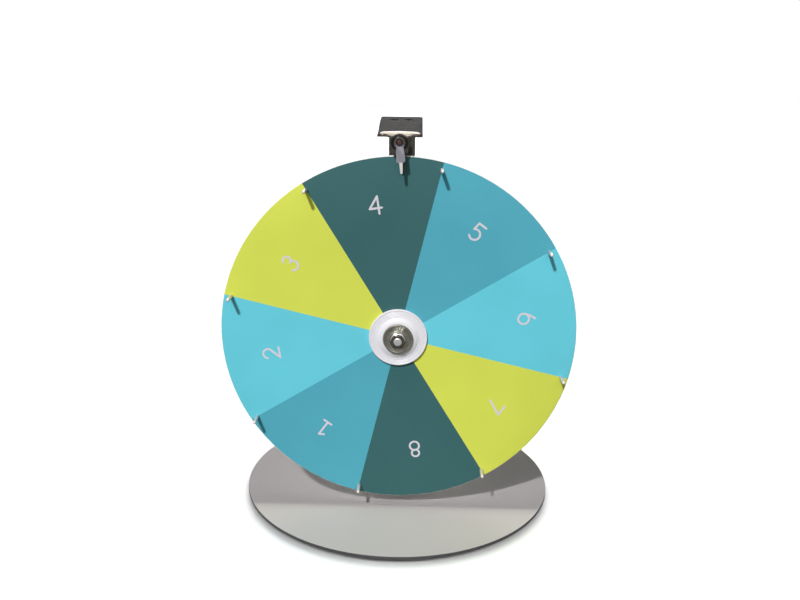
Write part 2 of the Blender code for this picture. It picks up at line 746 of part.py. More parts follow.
def make_spring_cup(pivot):
    """A shallow cup behind the pointer. Its wall is open below, where the pointer swings, and a stud on its
    floor stands between the spring's legs."""
    back, floor = SPRING_CUP_BACK, SPRING_CUP_BACK + SPRING_CUP_FLOOR
    profile = [
        (SPRING_CUP_RADIUS - 0.0003, SPRING_CUP_FRONT),
        (SPRING_CUP_RADIUS, SPRING_CUP_FRONT - 0.0003),
        (SPRING_CUP_RADIUS, back),
        (PIVOT_HOLE, back),
        (PIVOT_HOLE, floor),
        (SPRING_CUP_INNER, floor),
        (SPRING_CUP_INNER, SPRING_CUP_FRONT),
    ]
    cup = add("spring_cup", turned(profile, MEDIUM, ring=True), "black_steel", pivot)
    below = [(-0.02, -0.02), (0.02, -0.02), (0.02, -0.0002), (-0.02, -0.0002)]
    combine(cup, "DIFFERENCE", prism([below], floor + 0.0002, SPRING_CUP_FRONT + 0.01))
    stud = turned(rod_profile(0.0012, back + 0.0004, POINTER_BACK - 0.0004), TINY)
    combine(cup, "UNION", stud, (0, -0.0060, 0))


def spring_points():
    """The torsion spring's wire: two legs that hang down beside the studs, and the coil between them."""
    low, high = POINTER_BACK - 0.00235, POINTER_BACK - 0.00075
    leg, knee, end = 0.00175, -0.0052, -0.0120
    steps = int(SPRING_TURNS * 16)
    points = [(leg, end, low), (leg, knee - 0.001, low), (leg + 0.0004, knee, low), (SPRING_RADIUS, -0.0016, low)]
    for i in range(steps + 1):
        angle = math.tau * SPRING_TURNS * i / steps
        points.append(around(SPRING_RADIUS, angle, low + (high - low) * i / steps))
    points += [(-SPRING_RADIUS, -0.0016, high), (-leg - 0.0004, knee, high), (-leg, knee - 0.001, high)]
    return points + [(-leg, end, high)]


def make_spring(pivot):
    curve = bpy.data.curves.new("return_spring", "CURVE")
    curve.dimensions = "3D"
    curve.bevel_depth = SPRING_WIRE
    curve.bevel_resolution = 1
    curve.use_fill_caps = True
    points = spring_points()
    spline = curve.splines.new("POLY")
    spline.points.add(len(points) - 1)
    for point, spot in zip(spline.points, points):
        point.co = (*spot, 1)
    curve.materials.append(finish("spring_steel"))
    spring = bpy.data.objects.new("return_spring", curve)
    PARTS.objects.link(spring)
    place(spring, pivot, (0, 0, 0), (0, 0, 0))


def make_pointer(pivot):
    back, front = POINTER_BACK, POINTER_BACK + POINTER_THICKNESS
    bush_hole = circle(0.0033, SMALL)
    pointer = add("pointer", prism([pointer_outline(), bush_hole], back, front), "pointer_metal", pivot)
    stud = turned(rod_profile(0.0012, back - 0.0025, back + 0.001), TINY)
    combine(pointer, "UNION", stud, (0, -0.0100, 0))
    bush = tube_profile(PIVOT_HOLE, 0.0030, back, front)
    add("pointer_bush", turned(bush, SMALL, ring=True), "bronze", pivot)
    cup_floor = SPRING_CUP_BACK + SPRING_CUP_FLOOR
    spacer = tube_profile(PIVOT_HOLE, 0.0030, cup_floor + GAP, back - GAP)
    add("pivot_spacer", turned(spacer, SMALL, ring=True), "bronze", pivot)
    tongue_back = TONGUE_FRONT - ARM_SHEET
    nut = prism([hexagon(PIVOT_NUT_WIDTH), circle(PIVOT_HOLE, TINY)], tongue_back - 0.0027, tongue_back - GAP)
    add("pivot_nut", nut, "zinc", pivot)
    seat = front + GAP
    length = seat - (tongue_back - 0.0035)
    screw = screw_mesh(PIVOT_SCREW_RADIUS, length, 0.0030, 0.0018, 0.002)
    add("pivot_screw", screw, "bronze", pivot, (0, 0, seat))


clear_scene()
PARTS = new_collection("game_spinner")
TOOLS = new_collection("tools")

upright_facing_player = (math.pi / 2, 0, 0)
dial_frame = frame("dial_frame", (0, -FACE_FORWARD, AXLE_HEIGHT), upright_facing_player)
arm_frame = frame("arm_frame", (ARM_SIDEWAYS, 0, 0), (0, 0, 0), dial_frame)
pivot_frame = frame("pivot_frame", (0, PIVOT_HEIGHT, 0), (0, 0, PIVOT_LEAN), arm_frame)

make_base()
make_post_flange()
post_plug = make_post()
make_arm(arm_frame, post_plug)
make_axle(dial_frame)
make_board(dial_frame)
make_pegs(dial_frame)
make_hub(dial_frame)
make_spring_cup(pivot_frame)
make_spring(pivot_frame)
make_pointer(pivot_frame)
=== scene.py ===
"""Looks of a tabletop game spinner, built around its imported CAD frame.

Metres, +Z up, in the CAD's own frame. Pieces on the dial's axis are drawn in the dial's frame (x right, y up,
z towards the player, z = 0 on the printed face) and then laid into the row's frame."""

import json
import math

import bmesh
import bpy
from mathutils import Matrix, Vector


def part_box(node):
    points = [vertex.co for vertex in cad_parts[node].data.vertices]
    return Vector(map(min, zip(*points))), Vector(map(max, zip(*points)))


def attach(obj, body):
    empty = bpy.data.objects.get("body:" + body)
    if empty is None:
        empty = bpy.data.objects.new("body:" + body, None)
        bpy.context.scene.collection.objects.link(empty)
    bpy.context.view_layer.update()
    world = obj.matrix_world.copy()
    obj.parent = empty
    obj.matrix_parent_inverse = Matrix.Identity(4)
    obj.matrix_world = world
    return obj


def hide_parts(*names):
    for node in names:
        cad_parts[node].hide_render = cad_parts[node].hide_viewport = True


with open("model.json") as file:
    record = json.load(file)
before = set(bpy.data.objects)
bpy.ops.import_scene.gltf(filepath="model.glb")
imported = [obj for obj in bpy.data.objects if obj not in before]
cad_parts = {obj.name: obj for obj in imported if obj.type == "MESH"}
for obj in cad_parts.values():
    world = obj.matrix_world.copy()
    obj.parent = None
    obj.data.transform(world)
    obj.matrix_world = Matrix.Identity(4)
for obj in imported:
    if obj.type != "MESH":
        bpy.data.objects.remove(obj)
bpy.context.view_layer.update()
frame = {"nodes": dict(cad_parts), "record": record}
nodes = frame["nodes"]


# Places read from the frame


def middle(node):
    low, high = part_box(node)
    return (low + high) / 2


face_low, face_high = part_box("printed_face")
DIAL = Vector((middle("printed_face").x, face_low.y, middle("printed_face").z))
IN_DIAL = Matrix.Translation(DIAL) @ Matrix.Rotation(math.pi / 2, 4, "X")
FROM_BEHIND = Matrix.Rotation(math.pi, 4, "X")
PIVOT = Vector((middle("pivot_screw").x, DIAL.y, middle("pivot_screw").z))
PIVOT_LEAN = math.radians(4.5)
IN_PIVOT = Matrix.Translation(PIVOT) @ Matrix.Rotation(math.pi / 2, 4, "X") @ Matrix.Rotation(PIVOT_LEAN, 4, "Z")
WORLD = Matrix.Identity(4)


def depth(y):
    """The row's y as a z of the dial's frame."""
    return DIAL.y - y


def radius_of(node):
    low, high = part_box(node)
    return (high.x - low.x) / 2


def span(node):
    """A node's back and front as z of the dial's frame."""
    low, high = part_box(node)
    return depth(high.y), depth(low.y)


def dial_angle_of(node):
    spot = middle(node) - DIAL
    return math.atan2(spot.z, spot.x)


# Mesh making


def as_object(bm, name, materials, matrix=WORLD, smooth_below=35):
    bmesh.ops.recalc_face_normals(bm, faces=bm.faces)
    mesh = bpy.data.meshes.new(name)
    bm.to_mesh(mesh)
    bm.free()
    mesh.transform(matrix)
    for material in materials:
        mesh.materials.append(material)
    mesh.shade_smooth()
    mesh.set_sharp_from_angle(angle=math.radians(smooth_below))
    obj = bpy.data.objects.new(name, mesh)
    bpy.context.scene.collection.objects.link(obj)
    return obj


def bake_modifiers(obj, smooth_below=35):
    """The object's modifiers become its mesh."""
    bpy.context.view_layer.update()
    graph = bpy.context.evaluated_depsgraph_get()
    mesh = bpy.data.meshes.new_from_object(obj.evaluated_get(graph))
    obj.modifiers.clear()
    obj.data = mesh
    mesh.shade_smooth()
    mesh.set_sharp_from_angle(angle=math.radians(smooth_below))
    return obj


def soften(points, steps=5, closed=False):
    """Rounds the corners of a line whose points are (a, b) or (a, b, radius)."""
    line = []
    count = len(points)
    for index, point in enumerate(points):
        here = Vector(point[:2])
        if len(point) < 3 or (not closed and index in (0, count - 1)):
            line.append(tuple(here))
            continue
        before = Vector(points[index - 1][:2]) - here
        after = Vector(points[(index + 1) % count][:2]) - here
        reach = min(point[2], before.length * 0.49, after.length * 0.49)
        start = here + before.normalized() * reach
        end = here + after.normalized() * reach
        for step in range(steps + 1):
            t = step / steps
            line.append(tuple(start * (1 - t) ** 2 + here * 2 * t * (1 - t) + end * t * t))
    return line


def lathe(profile, steps, ring=False, start=0.0, face_material=None):
    """A turned mesh about +Z from (radius, height) points."""
    bm = bmesh.new()
    rows = []
    for radius, height in profile:
        if radius < 1e-7:
            rows.append([bm.verts.new((0, 0, height))] * steps)
            continue
        turn = [start + math.tau * k / steps for k in range(steps)]
        rows.append([bm.verts.new((radius * math.cos(a), radius * math.sin(a), height)) for a in turn])
    pairs = list(zip(rows, rows[1:])) + ([(rows[-1], rows[0])] if ring else [])
    for row, (a, b) in enumerate(pairs):
        for k in range(steps):
            j = (k + 1) % steps
            corners = list(dict.fromkeys((a[k], b[k], b[j], a[j])))
            if len(corners) > 2:
                face = bm.faces.new(corners)
                if face_material:
                    face.material_index = face_material(row, k)
    return bm


def plate(outline, bottom, top):
    """A flat solid from a closed outline in the XY plane."""
    bm = bmesh.new()
    lower = bm.faces.new([bm.verts.new((x, y, bottom)) for x, y in outline])
    upper = bmesh.ops.extrude_face_region(bm, geom=[lower])
    moved = [v for v in upper["geom"] if isinstance(v, bmesh.types.BMVert)]
    bmesh.ops.translate(bm, verts=moved, vec=(0, 0, top - bottom))
    return bm


def arc(x, y, radius, start, end, steps):
    angles = [math.radians(start + (end - start) * i / steps) for i in range(steps + 1)]
    return [(x + radius * math.cos(a), y + radius * math.sin(a)) for a in angles]


def mirrored(half):
    """A closed outline from its right half, given from top to bottom."""
    return half + [(-x, y) for x, y in reversed(half) if x > 1e-6]


def bevel(obj, width, segments=3, angle=30):
    modifier = obj.modifiers.new("Bevel", "BEVEL")
    modifier.width = width
    modifier.segments = segments
    modifier.limit_method = "ANGLE"
    modifier.angle_limit = math.radians(angle)
    modifier.harden_normals = False
    return obj


def combine(obj, operation, bm, matrix=WORLD):
    """Cuts a solid from obj (DIFFERENCE) or joins it on (UNION)."""
    tool = as_object(bm, "tool", [], matrix)
    boolean = obj.modifiers.new("Combine", "BOOLEAN")
    boolean.operation = operation
    boolean.object = tool
    bake_modifiers(obj)
    bpy.data.objects.remove(tool, do_unlink=True)
    return obj


def nut(across_flats, bottom, top, bore, steps=96):
    """A hexagon nut whose front corners are turned down."""
    flat = across_flats / 2
    corner = flat / math.cos(math.pi / 6)
    seat = flat * 0.95
    rise = (corner - seat) * math.tan(math.radians(30))
    levels = [(bottom, corner)] + [(
        top - rise * (1 - i / 6), corner + (seat - corner) * i / 6
    ) for i in range(7)]
    bm = bmesh.new()
    rings, inner_top, inner_bottom = [], [], []
    for z, limit in levels:
        ring = []
        for k in range(steps):
            a = math.tau * k / steps
            off = a % (math.pi / 3) - math.pi / 6
            r = min(flat / math.cos(off), limit)
            ring.append(bm.verts.new((r * math.cos(a), r * math.sin(a), z)))
        rings.append(ring)
    for k in range(steps):
        a = math.tau * k / steps
        inner_top.append(bm.verts.new((bore * math.cos(a), bore * math.sin(a), top)))
        inner_bottom.append(bm.verts.new((bore * math.cos(a), bore * math.sin(a), bottom)))
    loop = [*rings, inner_top, inner_bottom, rings[0]]
    for a, b in zip(loop, loop[1:]):
        for k in range(steps):
            j = (k + 1) % steps
            bm.faces.new((a[k], b[k], b[j], a[j]))
    return bm


def give(obj, body, slot, *replaced):
    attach(obj, body)
    if replaced:
        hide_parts(*replaced)
    return obj


# Materials


def surface(
    name,
    color,
    accent,
    roughness,
    metallic=0.0,
    grain=400.0,
    stretch=(1, 1, 1),
    bump=0.0,
    bump_grain=None,
    detail=4.0,
    ring_pitch=None,
    ring_bump=0.0,
    patches=None,
    fade=None,
    **sockets,
):
    """A node material: colour and roughness vary with a grain, over broader patches, and fine relief. ring_pitch adds
    turning marks about the dial's axis, and fade is a row of (height, tint) that multiplies the colour by height,
    which paints light and shade into it."""
    material = bpy.data.materials.new(name)
    material.use_nodes = True
    tree = material.node_tree
    link = tree.links.new
    shader = tree.nodes["Principled BSDF"]
    shader.inputs["Metallic"].default_value = metallic
    for socket, value in sockets.items():
        shader.inputs[socket.replace("_", " ").title().replace("Ior", "IOR")].default_value = value
    place = tree.nodes.new("ShaderNodeTexCoord")
    mapping = tree.nodes.new("ShaderNodeMapping")
    mapping.inputs["Scale"].default_value = stretch
    link(place.outputs["Object"], mapping.inputs["Vector"])

    def noise(scale, octaves=detail):
        node = tree.nodes.new("ShaderNodeTexNoise")
        node.inputs["Scale"].default_value = scale
        node.inputs["Detail"].default_value = octaves
        link(mapping.outputs["Vector"], node.inputs["Vector"])
        return node.outputs["Fac"]

    fine = noise(grain)
    broad = noise(patches or grain * 0.06, 2.0)
    both = tree.nodes.new("ShaderNodeMath")
    both.operation = "MULTIPLY_ADD"
    both.inputs[1].default_value = 0.6
    link(fine, both.inputs[0])
    scaled = tree.nodes.new("ShaderNodeMath")
    scaled.operation = "MULTIPLY"
    scaled.inputs[1].default_value = 0.4
    link(broad, scaled.inputs[0])
    link(scaled.outputs[0], both.inputs[2])
    ramp = tree.nodes.new("ShaderNodeValToRGB")
    ramp.color_ramp.elements[0].position = 0.32
    ramp.color_ramp.elements[0].color = (*color, 1)
    ramp.color_ramp.elements[1].position = 0.68
    ramp.color_ramp.elements[1].color = (*accent, 1)
    link(both.outputs[0], ramp.inputs["Fac"])
    tinted = ramp.outputs["Color"]
    # fade: painted light and shade, the colour multiplied by a ramp over the object's height
    if fade:
        low, high = fade[0][0], fade[-1][0]
        axes = tree.nodes.new("ShaderNodeSeparateXYZ")
        link(place.outputs["Object"], axes.inputs["Vector"])
        height = tree.nodes.new("ShaderNodeMapRange")
        height.inputs["From Min"].default_value = low
        height.inputs["From Max"].default_value = high
        link(axes.outputs["Z"], height.inputs["Value"])
        painted_light_by_height = tree.nodes.new("ShaderNodeValToRGB")
        while len(painted_light_by_height.color_ramp.elements) < len(fade):
            painted_light_by_height.color_ramp.elements.new(0.5)
        for element, (z, tint) in zip(painted_light_by_height.color_ramp.elements, fade):
            element.position = (z - low) / (high - low)
            element.color = (*tint, 1)
        link(height.outputs["Result"], painted_light_by_height.inputs["Fac"])
        mixed = tree.nodes.new("ShaderNodeMix")
        mixed.data_type = "RGBA"
        mixed.blend_type = "MULTIPLY"
        mixed.inputs["Factor"].default_value = 1.0
        link(ramp.outputs["Color"], mixed.inputs["A"])
        link(painted_light_by_height.outputs["Color"], mixed.inputs["B"])
        tinted = mixed.outputs["Result"]
    link(tinted, shader.inputs["Base Color"])
    spread = tree.nodes.new("ShaderNodeMapRange")
    spread.inputs["From Min"].default_value = 0.3
    spread.inputs["From Max"].default_value = 0.7
    spread.inputs["To Min"].default_value = roughness[0]
    spread.inputs["To Max"].default_value = roughness[1]
    link(both.outputs[0], spread.inputs["Value"])
    link(spread.outputs["Result"], shader.inputs["Roughness"])
    normal = None
    if bump:
        relief = tree.nodes.new("ShaderNodeBump")
        relief.inputs["Strength"].default_value = 1.0
        relief.inputs["Distance"].default_value = bump
        link(noise(bump_grain or grain), relief.inputs["Height"])
        normal = relief.outputs["Normal"]
    if ring_pitch:
        centred = tree.nodes.new("ShaderNodeMapping")
        centred.inputs["Location"].default_value = tuple(-DIAL)
        link(place.outputs["Object"], centred.inputs["Vector"])
        wave = tree.nodes.new("ShaderNodeTexWave")
        wave.wave_type = "RINGS"
        wave.rings_direction = "Y"
        wave.inputs["Scale"].default_value = 0.314 / ring_pitch
        wave.inputs["Distortion"].default_value = 0.3
        link(centred.outputs["Vector"], wave.inputs["Vector"])
        turned = tree.nodes.new("ShaderNodeBump")
        turned.inputs["Strength"].default_value = 1.0
        turned.inputs["Distance"].default_value = ring_bump
        link(wave.outputs["Fac"], turned.inputs["Height"])
        if normal is not None:
            link(normal, turned.inputs["Normal"])
        normal = turned.outputs["Normal"]
    if normal is not None:
        link(normal, shader.inputs["Normal"])
    return material


def print_ink(name, color):
    """Matt vinyl print: a fine ink grain, faint cloudiness, and the film's orange peel."""
    darker = tuple(c * 0.94 for c in color)
    lighter = tuple(min(1.0, c * 1.05 + 0.004) for c in color)
    return surface(
        name, darker, lighter, (0.44, 0.56), grain=900, patches=14, bump=0.000012, bump_grain=700, specular_ior_level=0.16
    )


TEAL = print_ink("print_dark_teal", (0.037, 0.118, 0.125))
BLUE = print_ink("print_teal_blue", (0.078, 0.370, 0.475))
CYAN = print_ink("print_cyan", (0.130, 0.575, 0.700))
LIME = print_ink("print_lime", (0.620, 0.680, 0.090))
INK = surface("number_ink", (0.59, 0.56, 0.63), (0.67, 0.64, 0.71), (0.40, 0.52), grain=1200, bump=0.00001)
BASE_TOP = surface(
    "satin_base_paint",
    (0.56, 0.54, 0.525),
    (0.61, 0.59, 0.575),
    (0.50, 0.60),
    grain=1600,
    patches=9,
    bump=0.00001,
    bump_grain=1400,
    specular_ior_level=0.06,
)
# The base's side face is painted dark: painted shade for the side in shadow above the floor, given a steel grain.
BASE_SIDE_SHADE = surface(
    "base_side_painted_shade", (0.085, 0.085, 0.088), (0.15, 0.15, 0.15), (0.35, 0.55), metallic=0.5, grain=300, stretch=(1, 1, 5), bump=0.00005
)
BOARD = surface(
    "foam_board", (0.80, 0.80, 0.78), (0.88, 0.88, 0.86), (0.42, 0.60), grain=700, bump=0.00005,
    bump_grain=900
)
HUB = surface(
    "hub_plastic",
    (0.70, 0.69, 0.74),
    (0.745, 0.735, 0.785),
    (0.34, 0.44),
    grain=500,
    bump=0.000006,
    ring_pitch=0.0011,
    ring_bump=0.00002,
)
DARK_NICKEL = surface(
    "dark_nickel",
    (0.080, 0.070, 0.058),
    (0.125, 0.112, 0.098),
    (0.10, 0.17),
    metallic=1.0,
    grain=260,
    stretch=(4, 1, 4),
    patches=20,
    bump=0.00001,
    bump_grain=500,
)
DISH = surface(
    "dark_nickel_dish",
    (0.15, 0.145, 0.12),
    (0.25, 0.245, 0.21),
    (0.36, 0.48),
    metallic=0.8,
    grain=500,
    bump=0.00001,
    ring_pitch=0.0007,
    ring_bump=0.00003,
)
NICKEL = surface(
    "polished_nickel", (0.80, 0.76, 0.75), (0.90, 0.87, 0.86), (0.16, 0.26), metallic=1.0, grain=300,
    bump=0.000006
)
ZINC = surface(
    "zinc_plate", (0.44, 0.44, 0.42), (0.62, 0.62, 0.60), (0.30, 0.48), metallic=1.0, grain=520,
    patches=120, bump=0.00002
)
BEARING = surface(
    "bearing_steel", (0.58, 0.59, 0.60), (0.70, 0.71, 0.72), (0.14, 0.24), metallic=1.0, grain=500
)
PEG_METAL = surface(
    "satin_peg", (0.64, 0.57, 0.57), (0.76, 0.69, 0.69), (0.26, 0.38), metallic=0.30, grain=300,
    bump=0.000006
)
# The pointer's fade is painted light: the narrow tip is painted lighter (painted highlight), the body darker, and the
# head round the pivot near black (painted shade).
POINTER_METAL = surface(
    "satin_pointer_painted_light",
    (0.80, 0.79, 0.80),
    (0.94, 0.93, 0.94),
    (0.26, 0.36),
    metallic=0.7,
    grain=420,
    stretch=(6, 1, 1),
    bump=0.000012,
    fade=[
        (PIVOT.z - 0.0325, (1.0, 0.95, 0.88)),
        (PIVOT.z - 0.0215, (1.0, 0.96, 0.90)),
        (PIVOT.z - 0.0195, (0.36, 0.36, 0.40)),
        (PIVOT.z - 0.0060, (0.33, 0.33, 0.37)),
        (PIVOT.z - 0.0015, (0.10, 0.095, 0.09)),
        (PIVOT.z + 0.0065, (0.07, 0.065, 0.06)),
    ],
)
BRONZE = surface(
    "bronze", (0.07, 0.035, 0.032), (0.13, 0.07, 0.065), (0.28, 0.44), metallic=1.0, grain=900,
    bump=0.00002
)
BLACK_STEEL = surface(
    "black_oxide", (0.012, 0.012, 0.012), (0.035, 0.034, 0.033), (0.28, 0.45), metallic=0.7, grain=700,
    bump=0.00001
)
SPRING_WIRE = surface(
    "drawn_wire", (0.26, 0.26, 0.26), (0.42, 0.42, 0.41), (0.22, 0.34), metallic=1.0, grain=900
)
# The nut's fade is painted shade: below the axle's middle the nickel is painted near black, as if shadowed.
NUT_METAL = surface(
    "nickel_painted_shade_below",
    (0.66, 0.65, 0.64),
    (0.80, 0.79, 0.77),
    (0.20, 0.30),
    metallic=0.9,
    grain=420,
    bump=0.00001,
    fade=[
        (DIAL.z - 0.0090, (0.05, 0.05, 0.05)), (DIAL.z - 0.0010, (0.09, 0.09, 0.08)),
        (DIAL.z + 0.0050, (0.85, 0.85, 0.87))
    ],
)
# The spring cup's fade is painted shade: its lower part, round and below the pivot, is painted near black.
CUP_BLACK = surface(
    "dark_cup_painted_shade_below",
    (0.10, 0.095, 0.088),
    (0.14, 0.132, 0.122),
    (0.16, 0.26),
    metallic=0.9,
    grain=500,
    bump=0.00001,
    fade=[
        (PIVOT.z - 0.0095, (0.15, 0.15, 0.15)), (PIVOT.z + 0.0030, (0.2, 0.2, 0.2)),
        (PIVOT.z + 0.0095, (1.0, 1.0, 1.0))
    ],
)
RUBBER = surface("rubber", (0.018, 0.018, 0.018), (0.04, 0.04, 0.04), (0.68, 0.88), grain=600, bump=0.00004)

SLOT_MATERIALS = {
    "base_paint": BASE_TOP,
    "dark_nickel": DARK_NICKEL,
    "nickel": NICKEL,
    "zinc": ZINC,
    "bearing_steel": BEARING,
    "white_board": BOARD,
    "printed_face": TEAL,
    "white_plastic": HUB,
    "pointer_metal": POINTER_METAL,
    "bronze": BRONZE,
    "black_steel": BLACK_STEEL,
    "spring_steel": SPRING_WIRE,
    "rubber": RUBBER,
}

for part in frame["record"]["subparts"]:
    obj = nodes[part["node"]]
    for index in range(len(obj.material_slots)):
        obj.material_slots[index].material = SLOT_MATERIALS[part["material_slot"]]
# The spring cup takes the material with painted shade on its lower part.
for index in range(len(nodes["spring_cup"].material_slots)):
    nodes["spring_cup"].material_slots[index].material = CUP_BLACK


# Base


def make_base():
    low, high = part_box("base_plate")
    radius = (high.x - low.x) / 2
    edge = 0.0007
    top_line = [(0, high.z), (radius * 0.5, high.z), (radius - 0.004, high.z), (radius, high.z, edge)]
    under_line = [(radius, low.z, edge), (radius - 0.004, low.z), (0, low.z)]
    profile = soften(top_line + under_line, 5)
    # Rows from here on are the rim's side and underside, which get the painted shade.
    painted_shade_from_row = 6

    def side(row, _):
        return 1 if row >= painted_shade_from_row else 0

    base = as_object(lathe(profile, 240, face_material=side), "base_disc", [BASE_TOP, BASE_SIDE_SHADE])
    give(base, "stand", "base_paint", "base_plate")


make_base()


# Dial: printed face and its numbers

SECTORS = 8
STEPS_A_SECTOR = 18
FIRST_BORDER = dial_angle_of("peg_1")
SECTOR = math.tau / SECTORS
NUMBER_ORDER = "45678123"
STROKE = 0.0023
INK_HEIGHT = 0.00006


def make_face():
    outer = (face_high.x - face_low.x) / 2
    thickness = face_high.y - face_low.y
    bore = 0.0115
    rows = [
        (outer, -thickness), (outer, 0, 0.00012), (outer * 0.66, 0), (outer * 0.33, 0), (bore, 0),
        (bore, -thickness)
    ]
    colors = [TEAL, BLUE, CYAN, LIME]

    def color(_, k):
        return 3 - (k // STEPS_A_SECTOR) % 4

    bm = lathe(soften(rows, 3), SECTORS * STEPS_A_SECTOR, True, FIRST_BORDER - 3 * SECTOR, color)
    give(as_object(bm, "sector_print", colors, IN_DIAL), "wheel", "printed_face", "printed_face")


def stroke(points, width, bottom, top, closed=False):
    """A ribbon of ink along points: a thin solid, with round ends where it is open."""
    half = width / 2
    count = len(points)
    bm = bmesh.new()
    left, right = [], []
    for i, point in enumerate(points):
        here = Vector(point)
        before = Vector(points[i - 1]) if closed or i else here
        after = Vector(points[(i + 1) % count]) if closed or i < count - 1 else here
        along = ((here - before).normalized() + (after - here).normalized()).normalized()
        side = Vector((-along.y, along.x))
        reference = (after - here if i < count - 1 or closed else here - before).normalized()
        reach = half / max(0.7, reference.dot(along))
        left.append(bm.verts.new((*(here + side * reach), bottom)))
        right.append(bm.verts.new((*(here - side * reach), bottom)))
    for k in range(count if closed else count - 1):
        j = (k + 1) % count
        bm.faces.new((right[k], right[j], left[j], left[k]))
    if not closed:
        for end, neighbour, first, last in ((0, 1, left, right), (-1, -2, right, left)):
            away = math.degrees(math.atan2(
                points[end][1] - points[neighbour][1], points[end][0] - points[neighbour][0]
            ))
            cap = arc(*points[end], half, away - 90, away + 90, 8)[1:-1]
            bm.faces.new([first[end], *(bm.verts.new((*p, bottom)) for p in cap), last[end]])
    bm.normal_update()
    raised = bmesh.ops.extrude_face_region(bm, geom=bm.faces[:])
    bmesh.ops.translate(
        bm, verts=[v for v in raised["geom"] if isinstance(v, bmesh.types.BMVert)],
        vec=(0, 0, top - bottom)
    )
    return bm


def number_strokes(digit):
    """Centre lines of a number's strokes in millimetres, on a cell 14 wide and 19 high, with whether each closes."""
    if digit == "1":
        return [
            ([(-5.2, 6.2), (0.0, 9.4)], False), ([(0.0, 9.4), (0.0, -9.3)], False),
            ([(-5.2, -9.3), (5.2, -9.3)], False)
        ]
    if digit == "2":
        top = arc(0.2, 3.9, 5.6, 168, -32, 16)
        return [(top + [(-5.8, -9.0)], False), ([(-5.9, -9.3), (6.2, -9.3)], False)]
    if digit == "3":
        upper = arc(-0.4, 4.9, 4.6, 150, -78, 14)
        lower = arc(-0.4, -4.1, 5.4, 82, -150, 16)
        return [(upper, False), (lower, False)]
    if digit == "4":
        return [
            ([(3.4, 9.4), (3.4, -9.6)], False), ([(3.4, 9.4), (-6.4, -3.3)], False),
            ([(-6.4, -3.4), (6.9, -3.4)], False)
        ]
    if digit == "5":
        bowl = arc(-0.6, -3.3, 6.0, 118, -140, 18)
        return [
            ([(5.6, 9.4), (-3.9, 9.4)], False), ([(-3.9, 9.4), (-4.6, 1.2)], False),
            ([(-4.6, 1.2)] + bowl, False)
        ]
    if digit == "6":
        bowl = arc(0.2, -3.4, 6.1, 0, 360, 28)[:-1]
        back = [(-5.5, -0.9), (-4.0, 2.4), (-1.4, 6.2), (1.4, 9.5)]
        return [(bowl, True), (back, False)]
    if digit == "7":
        return [([(-6.6, 9.2), (6.2, 9.2)], False), ([(6.2, 9.2), (-2.6, -9.6)], False)]
    return [(arc(0, 4.9, 4.4, 0, 360, 24)[:-1], True), (arc(0, -4.6, 5.5, 0, 360, 28)[:-1], True)]


# How far from the hub, and how far aside, each number stands, in millimetres
NUMBER_SPOTS = {
    "4": (152, 2.7),
    "5": (148.5, 2.7),
    "6": (147, 1.8),
    "7": (141.5, 0),
    "8": (142, -0.7),
    "1": (144.5, -3.2),
    "2": (147.5, -0.7),
    "3": (147, 2.7),
}


def make_number(digit, index):
    """One number, its top away from the hub, near the middle line of its sector."""
    angle = FIRST_BORDER + SECTOR / 2 - SECTOR * index
    out, aside = NUMBER_SPOTS[digit]
    place = IN_DIAL @ Matrix.Rotation(angle - math.pi / 2, 4, "Z") @ Matrix.Translation((-aside / 1000, out / 1000, 0))
    number = None
    for layer, (points, closed) in enumerate(number_strokes(digit)):
        line = [(x / 1000, y / 1000) for x, y in points]
        bm = stroke(line, STROKE, 0.00001 * (layer + 1), INK_HEIGHT + 0.00001 * layer, closed)
        if number is None:
            number = as_object(bm, f"number_{digit}", [INK], place)
        else:
            combine(number, "UNION", bm, place)
    give(number, "wheel", "printed_face")


make_face()
for place_index, figure in enumerate(NUMBER_ORDER):
    make_number(figure, place_index)


# Hub


def make_hubs():
    flange = radius_of("front_hub")
    back, front = span("front_hub")
    _, bearing_front = span("front_outer_race")
    step = back + 0.003
    boss = 0.0217
    lip = 0.010
    pocket = radius_of("front_outer_race") + 0.0003
    groove = 0.0009
    rings = []
    for i in range(4):
        a = boss + 0.0044 + (flange - 0.0062 - boss) * i / 4
        rings += [
            (a, step, 0.0003), (a + 0.0004, step - 0.0003, 0.0002), (a + groove, step - 0.0003, 0.0002),
            (a + groove + 0.0004, step, 0.0003)
        ]
    profile = (
        [(boss - 0.0026, front, 0.0024), (boss + 0.0024, step, 0.0024)]
        + rings
        + [(flange, step, 0.0009), (flange, back, 0.0002), (pocket, back), (pocket, bearing_front + 0.0003)]
        + [(lip, bearing_front + 0.0003), (lip, front, 0.0004)]
    )
    line = soften(profile, 4, closed=True)
    hub = as_object(lathe(line, 144, True), "hub_front", [HUB], IN_DIAL, 40)
    give(hub, "wheel", "white_plastic", "front_hub")
    _, rear_front = span("rear_hub")
    mirror = Matrix.Translation((0, 0, rear_front + back)) @ FROM_BEHIND
    rear = as_object(lathe(line, 144, True), "hub_rear", [HUB], IN_DIAL @ mirror, 40)
    give(rear, "wheel", "white_plastic", "rear_hub")


def make_cup_washer():
    back, front = span("cup_washer")
    radius = radius_of("cup_washer") - 0.0010
    front -= 0.0010
    bore = 0.0053
    sleeve = 0.0072
    seat, _ = span("axle_nut")
    seat -= 0.0003
    underside = depth(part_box("front_hub")[0].y) + 0.0003
    profile = [
        (radius - 0.0010, front, 0.0008),
        (radius, front - 0.0008, 0.0008),
        (radius, front - 0.0020, 0.0010),
        (0.0145, front - 0.0026, 0.0020),
        (0.0105, underside, 0.0010),
        (sleeve, underside),
        (sleeve, back),
        (bore, back),
        (bore, seat),
        (0.0092, seat, 0.0004),
        (0.0100, seat - 0.0005, 0.0008),
        (0.0128, seat - 0.0002, 0.0030),
        (0.0149, front - 0.0006, 0.0016),
    ]
    cup = as_object(lathe(soften(profile, 6, closed=True), 128, True), "cup_dish", [DISH], IN_DIAL, 50)
    give(cup, "stand", "dark_nickel", "cup_washer")


